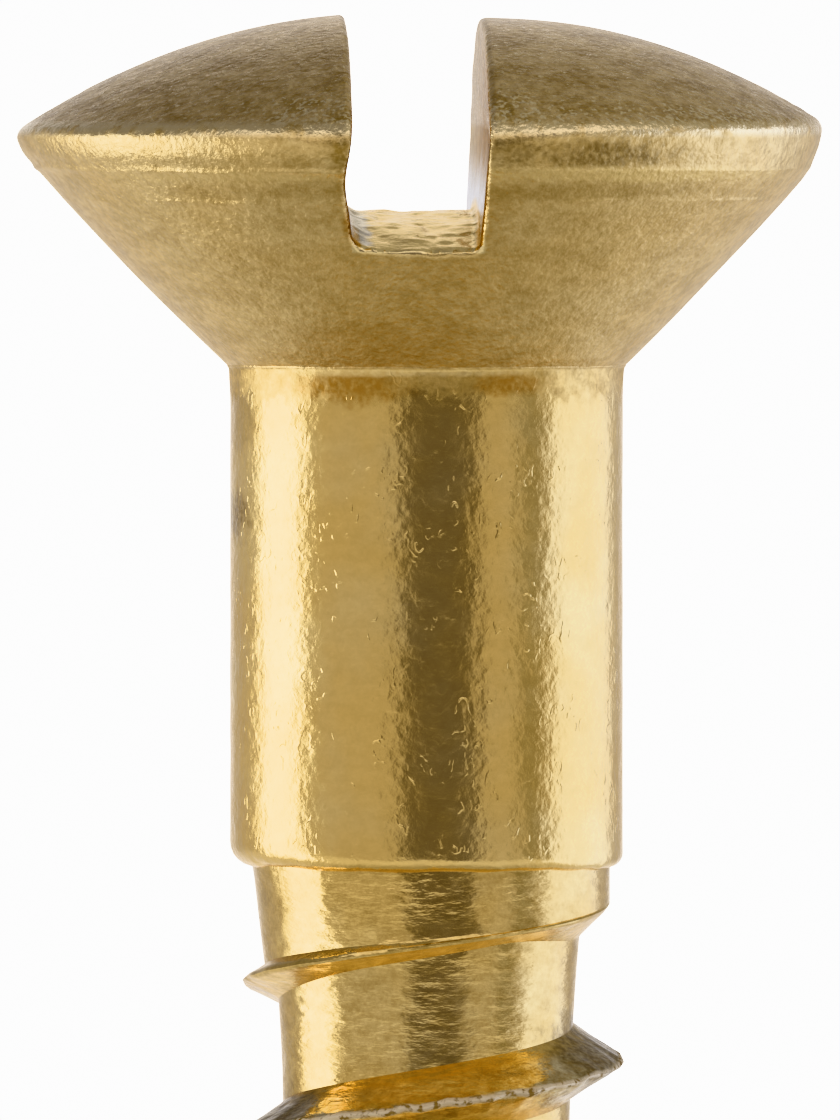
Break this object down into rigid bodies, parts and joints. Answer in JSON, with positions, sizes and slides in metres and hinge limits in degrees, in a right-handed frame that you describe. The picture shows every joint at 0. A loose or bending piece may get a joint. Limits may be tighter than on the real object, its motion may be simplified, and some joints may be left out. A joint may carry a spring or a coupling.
{
  "type": "wood screw",
  "caption": "Slotted wood screw in solid brass, with a raised countersunk head, plain shank, right-hand thread and self-starting point.",
  "frame": {"origin": "on the shank's axis, in the plane of the head's widest circle, which is level with the timber when the screw is driven home", "axes": "+Z along the screw's axis out of the timber, from the point towards the crown; the driving slot runs along Y; the ridge of the thread reaches its full height on the +X side"},
  "size_m": [0.0072, 0.007, 0.0202],
  "materials": {
    "brass": "bright turned shank and thread, duller tumbled head, uncoated"
  },
  "bodies": {
    "root": {"head": "brass", "shank": "brass", "thread_runout": "brass", "thread": "brass", "gimlet_point": "brass"}
  },
  "joints": []
}
